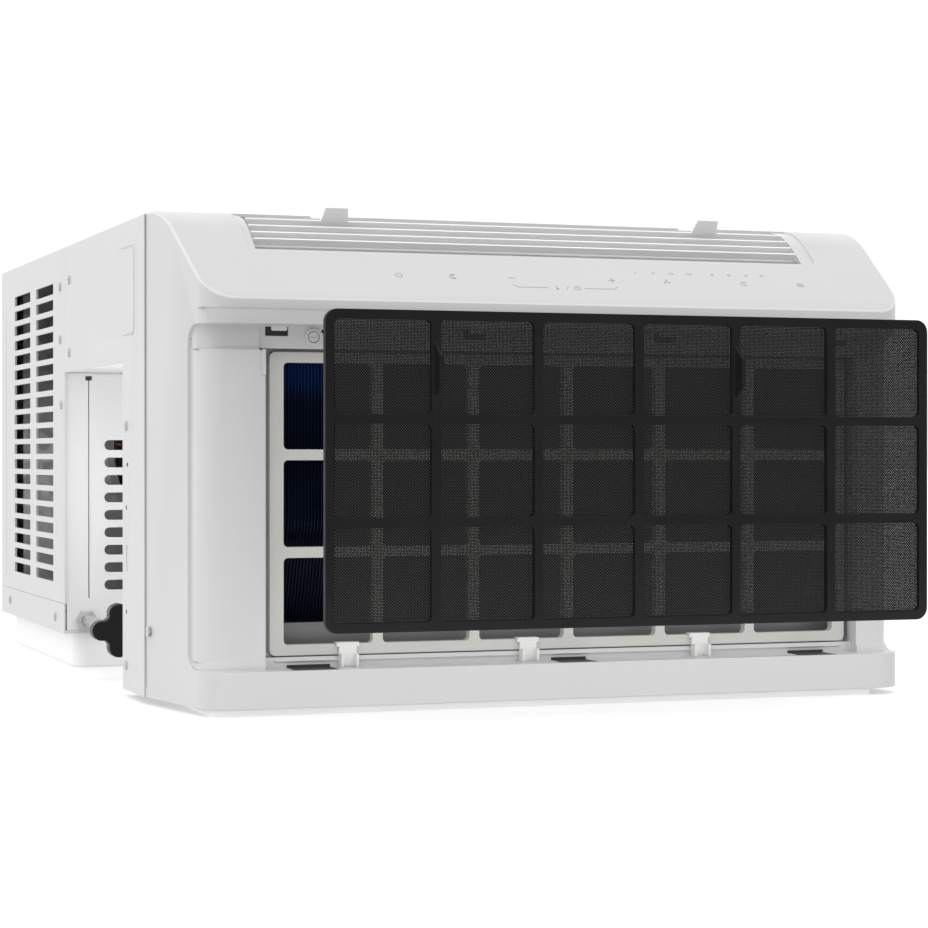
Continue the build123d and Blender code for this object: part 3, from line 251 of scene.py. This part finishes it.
MARK = surface("mark_ink", (0.30, 0.30, 0.31), 0.5, tone=0.05, grain=2500, grain_depth=0.01)


# a painted highlight: the fins' blue is painted brighter towards their upper edge
PAINTED_HIGHLIGHT_FINS_Z = (0.235, 0.262)  # metres: the blue turns brighter between these heights


def coated_fins_with_painted_highlight():
    """Dark blue coating on the evaporator's fins, with a brighter blue painted near their upper edge as a
    highlight.
    """
    n = Nodes("coil_fins")
    height = n.add("ShaderNodeSeparateXYZ")
    n.join(n.coords, height.inputs["Vector"])
    highlight_blend = n.spread(height.outputs["Z"], 0.0, 1.0, *PAINTED_HIGHLIGHT_FINS_Z)
    blues_and_painted_highlight = n.ramp(highlight_blend, [(0.0, (0.0012, 0.005, 0.018)), (1.0, (0.003, 0.026, 0.13))])
    polish = n.spread(n.noise(60, 4.0), 0.30, 0.46)
    relief = n.bump(n.noise(1600), GRAIN_STRENGTH, 0.02 * MM)
    return n.finish(blues_and_painted_highlight, polish, relief, Specular_IOR_Level=0.1)


COIL_FINS_PAINTED_HIGHLIGHT = coated_fins_with_painted_highlight()

NET_PITCH = 1.5  # between the middles of neighbouring threads
NET_STEP = NET_PITCH * 2**0.5  # the same along x or z


def knitted_net_with_painted_glints():
    """Black thread with a lighter colour painted where two threads cross as a glint, and a raised knot there.
    """
    n = Nodes("filter_net")
    (x0, _, z0), (x1, _, _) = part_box("filter_mesh")
    place = n.add("ShaderNodeSeparateXYZ")
    n.join(n.coords, place.inputs["Vector"])
    step = NET_STEP * MM
    knots = None
    for operation, start in (("SUBTRACT", z0 - x1), ("ADD", z0 + x0)):
        across = n.add("ShaderNodeMath", operation=operation)
        n.join(place.outputs["Z"], across.inputs[0])
        n.join(place.outputs["X"], across.inputs[1])
        turn = n.add("ShaderNodeMath", operation="MULTIPLY_ADD")
        turn.inputs[1].default_value = 2 * pi / step
        turn.inputs[2].default_value = -2 * pi * (start / step + 0.5)
        n.join(across.outputs["Value"], turn.inputs[0])
        wave = n.add("ShaderNodeMath", operation="COSINE")
        n.join(turn.outputs["Value"], wave.inputs[0])
        ridge = n.spread(wave.outputs["Value"], 0.0, 1.0, -1.0, 1.0)
        if knots is None:
            knots = ridge
            continue
        both = n.add("ShaderNodeMath", operation="MULTIPLY")
        n.join(knots, both.inputs[0])
        n.join(ridge, both.inputs[1])
        knots = both.outputs["Value"]
    # painted glints: the black turns lighter where the threads cross
    blacks_and_painted_glints = n.ramp(knots, [(0.10, (0.0015, 0.0015, 0.0015)), (1.0, (0.080, 0.080, 0.078))])
    polish = n.spread(n.noise(90, 2.0), 0.50, 0.66)
    return n.finish(blacks_and_painted_glints, polish, n.bump(knots, 0.5, 0.15 * MM), Specular_IOR_Level=0.1)


NET_WITH_PAINTED_GLINTS = knitted_net_with_painted_glints()


def galvanised():
    """Zinc-coated sheet with a faint spangle."""
    n = Nodes("galvanised_steel")
    cells = n.add("ShaderNodeTexVoronoi")
    cells.inputs["Scale"].default_value = 130
    n.join(n.coords, cells.inputs["Vector"])
    tone = n.add("ShaderNodeSeparateColor")
    n.join(cells.outputs["Color"], tone.inputs["Color"])
    greys = n.ramp(tone.outputs["Red"], [(0.0, (0.36, 0.37, 0.38)), (1.0, (0.48, 0.49, 0.50))])
    polish = n.spread(tone.outputs["Green"], 0.30, 0.46, 0, 1)
    relief = n.bump(n.noise(500), 0.2, 0.03 * MM)
    return n.finish(greys, polish, relief, Metallic=0.95)


ZINC_SHEET = galvanised()

BY_SLOT = {
    "cabinet_paint": PAINT, "shell_plastic": SHELL, "tray_plastic": TRAY, "guard_plastic": GUARD,
    "filter_plastic": BLACK, "filter_net": NET_WITH_PAINTED_GLINTS, "clip_plastic": CLIP, "inner_plastic": INNER,
    "louver_plastic": LOUVER, "coil_fins": COIL_FINS_PAINTED_HIGHLIGHT, "condenser_fins": BARE_FINS, "copper_tube": COPPER,
    "line_foam": FOAM, "galvanised_steel": ZINC_SHEET, "zinc_steel": ZINC, "compressor_paint": TANK,
    "motor_steel": MOTOR, "rubber": RUBBER, "knob_plastic": KNOB, "board_green": BOARD, "wire_grey": WIRES,
    "screw_paint": SCREW, "pan_plastic": PAN,
}
SLOT_OF = {s["node"]: s["material_slot"] for s in frame["record"]["subparts"]}


def paint(obj, material):
    obj.data.materials.clear()
    obj.data.materials.append(material)


for name, node in NODES.items():
    paint(node, BY_SLOT[SLOT_OF[name]])
# these walls get the lighter copy of the cabinet paint, painted light against the shade they stand in
for name in ("outdoor_front_wall", "bridge_floor", "indoor_back"):
    paint(NODES[name], WALL_PAINT_PAINTED_LIGHT)


# ---- making pieces --------------------------------------------------------------------------


def smooth(mesh, angle=32):
    for polygon in mesh.polygons:
        polygon.use_smooth = True
    mesh.set_sharp_from_angle(angle=radians(angle))


def finish_node(node, bevel, segments=2, angle=34):
    """A copy of a CAD node with softened edges, shown in the node's place."""
    mesh = NODES[node].data.copy()
    bm = bmesh.new()
    bm.from_mesh(mesh)
    bmesh.ops.remove_doubles(bm, verts=bm.verts, dist=2e-6)
    bmesh.ops.dissolve_limit(bm, angle_limit=radians(0.5), verts=bm.verts, edges=bm.edges, delimit={"NORMAL"})
    bm.to_mesh(mesh)
    bm.free()
    mesh.name = node + "_finish"
    piece = link(bpy.data.objects.new(node + "_finish", mesh))
    smooth(mesh, angle)
    soften = piece.modifiers.new("edges", "BEVEL")
    soften.width = bevel * MM
    soften.segments = segments
    soften.limit_method = "ANGLE"
    soften.angle_limit = radians(angle)
    soften.use_clamp_overlap = False
    soften.harden_normals = True
    soften.miter_outer = "MITER_ARC"
    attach(piece, BODY_OF[node])
    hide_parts(node)
    return piece


def new_piece(name, vertices, faces, material, body):
    mesh = bpy.data.meshes.new(name)
    mesh.from_pydata([tuple(c * MM for c in v) for v in vertices], [], faces)
    mesh.validate()
    mesh.update()
    mesh.materials.append(material)
    piece = link(bpy.data.objects.new(name, mesh))
    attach(piece, body)
    return piece


class Builder:
    """Collects solids, in millimetres, into one mesh."""

    def __init__(self):
        self.vertices = []
        self.faces = []

    def prism(self, outline, offset):
        """Closed solid from an outline of 3-D points and an offset vector."""
        base = len(self.vertices)
        count = len(outline)
        self.vertices += [tuple(p) for p in outline]
        self.vertices += [tuple(a + b for a, b in zip(p, offset)) for p in outline]
        self.faces.append(tuple(range(base + count - 1, base - 1, -1)))
        self.faces.append(tuple(range(base + count, base + 2 * count)))
        for i in range(count):
            j = (i + 1) % count
            self.faces.append((base + i, base + j, base + count + j, base + count + i))

    def box(self, x0, x1, y0, y1, z0, z1):
        self.prism([(x0, y0, z0), (x1, y0, z0), (x1, y1, z0), (x0, y1, z0)], (0, 0, z1 - z0))

    def piece(self, name, material, body, slot):
        return new_piece(name, self.vertices, self.faces, material, body)


def box_mm(node):
    low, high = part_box(node)
    return [c / MM for c in low], [c / MM for c in high]


# ---- fin packs and filter net ---------------------------------------------------------------


def evaporator_fins():
    """Upright fins whose lower part leans back."""
    (x0, y0, z0), (x1, y1, z1) = box_mm("evaporator_fins")
    lean, bend_z, thick = radians(20), 143.0, 28.0
    back_bend_z = bend_z + 5
    low_y = y0 + (bend_z - z0) * tan(lean)
    wide = thick / cos(lean)
    front = [(y0, z1), (y0, bend_z), (low_y, z0)]
    back = [(low_y + wide, z0), (y0 + thick, back_bend_z), (y0 + thick, z1)]
    outline = front + back
    fins = Builder()
    pitch, half_fin, gap_depth, inset = 2.6, 0.35, 2.4, 1
    count = int((x1 - x0) / pitch)
    for i in range(count):
        x = x0 + (i + 0.5) * (x1 - x0) / count
        fins.prism([(x - half_fin, y, z) for y, z in outline], (2 * half_fin, 0, 0))
    # the fins' collars close the gaps between them a little way in
    core = [(min(y + gap_depth, y1 - inset), min(z, z1 - inset)) for y, z in front]
    core += [(y - inset, max(z, z0 + inset)) for y, z in back]
    fins.prism([(x0 + inset, y, z) for y, z in core], (x1 - x0 - 2 * inset, 0, 0))
    piece = fins.piece("evaporator_fin_pack", COIL_FINS_PAINTED_HIGHLIGHT, "chassis", "coil_fins")
    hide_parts("evaporator_fins")


def condenser_fins():
    """Bare fins between two end plates that stand a little proud of them."""
    (x0, y0, z0), (x1, y1, z1) = box_mm("condenser_fins")
    pitch, half_fin, trim, half_plate, proud = 2.2, 0.14, 2, 0.6, 1.5
    fins = Builder()
    count = int((x1 - x0) / pitch)
    for i in range(count):
        x = x0 + (i + 0.5) * (x1 - x0) / count
        fins.box(x - half_fin, x + half_fin, y0, y1, z0 + trim, z1 - trim)
    for x in (x0 + half_plate, x1 - half_plate):
        fins.box(x - half_plate, x + half_plate, y0 - proud, y1 + proud, z0, z1)
    piece = fins.piece("condenser_fin_pack", BARE_FINS, "chassis", "condenser_fins")
    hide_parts("condenser_fins")


def filter_net():
    """Woven net: two sets of flat threads that cross at right angles, on the diagonal."""
    (x0, y0, z0), (x1, y1, z1) = box_mm("filter_mesh")
    net = Builder()
    width, thick, lift = 1.16, 0.22, 0.14
    root = 2**0.5
    mid = (y0 + y1) / 2
    for slope, y in ((1, mid - lift), (-1, mid + lift)):
        low = z0 - x1 if slope > 0 else z0 + x0
        high = z1 - x0 if slope > 0 else z1 + x1
        c = low + NET_STEP / 2
        while c < high:
            ends = []
            for x in (x0, x1):
                z = slope * x + c
                if z0 <= z <= z1:
                    ends.append((x, z))
            for z in (z0, z1):
                x = (z - c) / slope
                if x0 < x < x1:
                    ends.append((x, z))
            if len(ends) >= 2:
                (xa, za), (xb, zb) = ends[0], ends[1]
                nx, nz = -slope * width / 2 / root, width / 2 / root
                below = [(xa - nx, y, za - nz), (xb - nx, y, zb - nz)]
                above = [(xb + nx, y, zb + nz), (xa + nx, y, za + nz)]
                net.prism(below + above, (0, thick, 0))
            c += NET_STEP
    piece = net.piece("filter_net", NET_WITH_PAINTED_GLINTS, "filter", "filter_net")
    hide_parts("filter_mesh")


evaporator_fins()
condenser_fins()
filter_net()

SOFT_EDGES = {
    "front_shell": 0.5, "base_tray": 0.8, "intake_guard": 0.6, "filter_frame": 0.6, "filter_clips": 0.3,
    "bridge_cover": 0.3, "outdoor_cover": 0.3, "outdoor_front_wall": 0.3, "rear_guard": 0.4,
    "outdoor_floor": 0.3, "drip_tray": 0.8, "indoor_back": 0.4, "bridge_floor": 0.4,
    "left_bumper_knob": 1.6, "right_bumper_knob": 1.6, "hex_nuts": 0.4, "cabinet_screws": 0.2,
}
finished = {name: finish_node(name, width, 3 if "knob" in name else 2) for name, width in SOFT_EDGES.items()}


def lets_light_through(piece):
    """The filter stands before the intake without dimming what is behind it."""
    piece.visible_shadow = False
    piece.visible_diffuse = False


# the painted highlight goes on the rounded edge's faces picked by these two
PAINTED_HIGHLIGHT_LOW = 305.0  # the rounded edge lies above this height
PAINTED_HIGHLIGHT_RISE = (0.12, 0.72)  # its faces' normals rise by this much


def paint_highlight_on_deck_edge(piece):
    """The rounded edge between the deck and the faces below it is polished and gets a lighter colour: a
    painted highlight.
    """
    piece.data.materials.append(SHELL_PAINTED_HIGHLIGHT)
    low, high = PAINTED_HIGHLIGHT_RISE
    for polygon in piece.data.polygons:
        if low < polygon.normal.z < high and polygon.center.z > PAINTED_HIGHLIGHT_LOW * MM:
            polygon.material_index = 1


paint_highlight_on_deck_edge(finished["front_shell"])
lets_light_through(finished["filter_frame"])
lets_light_through(bpy.data.objects["filter_net"])


# ---- small parts round the intake -----------------------------------------------------------


BAND_SLOTS = (-223.0, -64.5, 95.5, 249.0)  # middles of the hook slots in the band over the intake
BAND_DEPTH = 5.0  # from the band's face to the guard's
DRAIN_SLOTS = ((-214.0, -180.0), (0.7, 30.0), (207.0, 239.0))
SILL_Z = 33.0


def intake_seal():
    """Foam strip behind the guard, along both sides and the top."""
    (x0, _, z0), (x1, back_y, z1) = box_mm("intake_guard")
    outside, inside, below, above = 3.5, 4.0, 2, 6
    y0, y1 = back_y + 0.4, back_y + 2.4
    seal = Builder()
    seal.box(x0 - outside, x0 + inside, y0, y1, z0 - below, z1 + above)
    seal.box(x1 - inside, x1 + outside, y0, y1, z0 - below, z1 + above)
    seal.box(x0 + inside, x1 - inside, y0, y1, z1 - inside, z1 + above)
    seal.piece("intake_seal", CLIP, "chassis", "clip_plastic")


def band_slots():
    """A dark sheet behind each hook slot, painted shade that makes the slot look deep, and a tongue with two
    cut corners in it.
    """
    band_y = box_mm("intake_guard")[0][1] - BAND_DEPTH
    half_slot = 13
    left, right, cut = 4.1, 8.1, 0.8
    top_z, cut_z, tip_z = 291.2, 288.2, 287.4
    slot_shades = Builder()
    tongues = Builder()
    for x in BAND_SLOTS:
        # a dark sheet behind the slot: painted shade
        slot_shades.box(x - half_slot, x + half_slot, band_y + 3.2, band_y + 4.2, 280, 294)
        corners = [(x - left, top_z), (x - left, cut_z), (x - left + cut, tip_z)]
        corners += [(x + right - cut, tip_z), (x + right, cut_z), (x + right, top_z)]
        tongues.prism([(u, band_y + 0.5, z) for u, z in reversed(corners)], (0, 1.2, 0))
    slot_shades.piece("band_slot_painted_shade", INNER, "chassis", "inner_plastic")
    tongues.piece("band_tongues", CLIP, "chassis", "shell_plastic")


def sill_bead():
    """Half-round bead along the sill, just under the guard."""
    (x0, face_y, _), (x1, _, _) = box_mm("intake_guard")
    margin = 4
    profile = ((0.4, 37.0), (-0.7, 37.3), (-1.4, 38.2), (-0.7, 39.1), (0.4, 39.4))
    bead = Builder()
    bead.prism([(x0 + margin, face_y + y, z) for y, z in profile], (x1 - x0 - 2 * margin, 0, 0))
    bead.piece("sill_bead", SHELL, "chassis", "shell_plastic")


def drain_slot_painted_shade():
    """Thin dark pieces laid on the sill in the shape of slots, painted shade where no slot is cut, turning up
    where the sill meets the guard.
    """
    front_y = box_mm("front_shell")[0][1]
    back_y = box_mm("intake_guard")[0][1] + 0.2
    drain_shades = Builder()
    for x0, x1 in DRAIN_SLOTS:
        # painted shade: a dark sheet a hair above the sill, and a strip up the guard's foot
        drain_shades.box(x0, x1, front_y + 2.0, back_y, SILL_Z - 0.3, SILL_Z + 0.12)
        drain_shades.box(x0, x1, back_y - 0.3, back_y, SILL_Z, SILL_Z + 2.2)
    drain_shades.piece("drain_slot_painted_shade", INNER, "chassis", "inner_plastic")


intake_seal()
band_slots()
sill_bead()
drain_slot_painted_shade()


# raised beads in the side sheets: y of the open ends, y of the closed end, z of the two arms
BEADS = {
    "bridge": (-134.0, -182.0, 291.5, 361.8),
    "outdoor": (457.0, 435.5, 70.8, 337.2),
}
BEAD_RADIUS = 1.5
BEAD_SINK = 1.0  # how far a bead's middle lies inside the sheet's face
BEAD_CORNER = 6.0
CORNER_STEPS = 4


def bracket_path(open_y, closed_y, low, high):
    """Points of a square bracket with rounded corners, as y and z."""
    toward = 1 if open_y > closed_y else -1
    path = [(open_y, low)]
    for centre_z, start in ((low + BEAD_CORNER, 270), (high - BEAD_CORNER, 180)):
        for i in range(CORNER_STEPS + 1):
            a = radians(start - 90 * i / CORNER_STEPS)
            path.append((closed_y + toward * BEAD_CORNER * (1 + cos(a)), centre_z + BEAD_CORNER * sin(a)))
    path.append((open_y, high))
    return path


def stiffening_beads():
    """Raised beads pressed into the side sheets, open at one end like square brackets."""
    low_corner, high_corner = box_mm("bridge_cover")
    for side, x in (("left", low_corner[0] + BEAD_SINK), ("right", high_corner[0] - BEAD_SINK)):
        for name, bracket in BEADS.items():
            path = bracket_path(*bracket)
            curve = bpy.data.curves.new(f"{name}_bead_{side}", "CURVE")
            curve.dimensions = "3D"
            curve.bevel_depth = BEAD_RADIUS * MM
            curve.bevel_resolution = 3
            curve.use_fill_caps = True
            line = curve.splines.new("POLY")
            line.points.add(len(path) - 1)
            for point, (y, z) in zip(line.points, path):
                point.co = (x * MM, y * MM, z * MM, 1)
            curve.materials.append(PAINT)
            piece = link(bpy.data.objects.new(f"{name}_bead_{side}", curve))
            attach(piece, "chassis")


stiffening_beads()


# ---- printed marks on the deck --------------------------------------------------------------

DECK_ANGLE = radians(38.9)
LIP_EDGE_Z = 310.4
MARK_HEIGHT = 0.12  # the ink's thickness
MARK_ROOT = 0.3  # how far the ink starts below the surface
PEN = 0.7  # line width
DOT_SIDES = 12


class Marks:
    """Thin flat shapes on the sloped deck: u runs across the unit, v up the slope from the lip."""

    def __init__(self):
        self.ink = Builder()
        self.front_y = box_mm("front_shell")[0][1]

    def place(self, u, v):
        c, s = cos(DECK_ANGLE), sin(DECK_ANGLE)
        return (u, self.front_y + v * c + MARK_ROOT * s, LIP_EDGE_Z + v * s - MARK_ROOT * c)

    def shape(self, outline):
        low = [self.place(u, v) for u, v in outline]
        rise = MARK_ROOT + MARK_HEIGHT
        self.ink.prism(low, (0, -rise * sin(DECK_ANGLE), rise * cos(DECK_ANGLE)))

    def bar(self, u0, v0, u1, v1, width=PEN):
        length = hypot(u1 - u0, v1 - v0)
        nu, nv = -(v1 - v0) / length * width / 2, (u1 - u0) / length * width / 2
        self.shape([(u0 - nu, v0 - nv), (u1 - nu, v1 - nv), (u1 + nu, v1 + nv), (u0 + nu, v0 + nv)])

    def arc(self, u, v, radius, start, end, width=PEN, steps=20):
        inner, outer = [], []
        for i in range(steps + 1):
            a = radians(start + (end - start) * i / steps)
            outer.append((u + (radius + width / 2) * cos(a), v + (radius + width / 2) * sin(a)))
            inner.append((u + (radius - width / 2) * cos(a), v + (radius - width / 2) * sin(a)))
        for i in range(steps):
            self.shape([inner[i], outer[i], outer[i + 1], inner[i + 1]])

    def dot(self, u, v, radius):
        angles = [2 * pi * i / DOT_SIDES for i in range(DOT_SIDES)]
        self.shape([(u + radius * cos(a), v + radius * sin(a)) for a in angles])


def deck_marks():
    """Generic signs in the places of the touch keys and their lamps."""
    marks = Marks()
    low, row, lamps = 22.0, 34.0, 45.5
    # on and off
    marks.arc(-125, row, 2.6, 130, 410)
    marks.bar(-125, row + 0.6, -125, row + 3.6)
    # sleep
    marks.arc(-80.6, row, 2.8, 60, 300, 0.9)
    marks.arc(-79.0, row, 2.4, 85, 275, 0.6)
    # less and more
    marks.bar(-35.5, row, -29.5, row, 0.9)
    marks.bar(49, row, 55, row, 0.9)
    marks.bar(52, row - 3, 52, row + 3, 0.9)
    for side in (-1, 1):
        marks.bar(10 + side * 44, low + 3.5, 10 + side * 41, low)
        marks.bar(10 + side * 41, low, 10 + side * 15, low)
    # temperature and time, between the bracket's arms
    marks.bar(2, low - 0.6, 2, low + 3.2)
    marks.dot(2, low - 1.4, 1.2)
    marks.bar(9.5, low - 2.2, 12, low + 2.8, 0.5)
    marks.arc(19, low + 0.3, 2.5, 0, 360, 0.6)
    marks.bar(19, low + 0.3, 19, low + 2.2, 0.5)
    marks.bar(19, low + 0.3, 20.4, low + 0.3, 0.5)
    # fan speed with four lamps, one bar more for each step
    for blade in (90, 210, 330):
        a = radians(blade)
        marks.bar(99.5 + 0.6 * cos(a), row + 0.6 * sin(a), 99.5 + 3.2 * cos(a), row + 3.2 * sin(a), 1.3)
    for step in range(4):
        for line in range(step + 1):
            u = 76 + step * 15.6 + (line - step / 2) * 1.5
            marks.bar(u, lamps - 1.2, u, lamps + 1.2, 0.6)
    # mode with four lamps
    marks.arc(167.5, row, 2.6, 30, 330, 0.7)
    marks.dot(167.5, row, 0.8)
    for step, u in enumerate((143.5, 158.5, 173.5, 187.5)):
        if step % 2:
            marks.arc(u, lamps, 1.3, 0, 360, 0.5, 14)
        else:
            marks.bar(u - 1.8, lamps, u + 1.8, lamps, 0.6)
            marks.bar(u, lamps - 1.4, u, lamps + 1.4, 0.6)
    # filter
    for i in (-1, 0, 1):
        marks.bar(218 + i * 2, row - 2.6, 218 + i * 2, row + 2.6, 0.45)
        marks.bar(218 - 3, row + i * 2, 218 + 3, row + i * 2, 0.45)
    marks.ink.piece("deck_marks", MARK, "chassis", "shell_plastic")


deck_marks()

# ---- floor ----------------------------------------------------------------------------------

FAR = 30  # metres from the middle to the floor's edges
FLOOR_GLOW = 0.42  # keeps the floor as white as the studio behind it
floor_mesh = bpy.data.meshes.new("floor")
floor_mesh.from_pydata([(-FAR, -FAR, 0), (FAR, -FAR, 0), (FAR, FAR, 0), (-FAR, FAR, 0)], [], [(0, 1, 2, 3)])
FLOOR = surface("floor", (0.60, 0.60, 0.60), 0.8, tone=0.004, grain=300, grain_depth=0.02)
fill_inputs(
    FLOOR.node_tree.nodes["Principled BSDF"],
    Emission_Color=(1, 1, 1, 1),
    Emission_Strength=FLOOR_GLOW,
)
floor_mesh.materials.append(FLOOR)
floor = link(bpy.data.objects.new("floor", floor_mesh))
floor.location.z = -0.5 * MM
floor.visible_diffuse = False
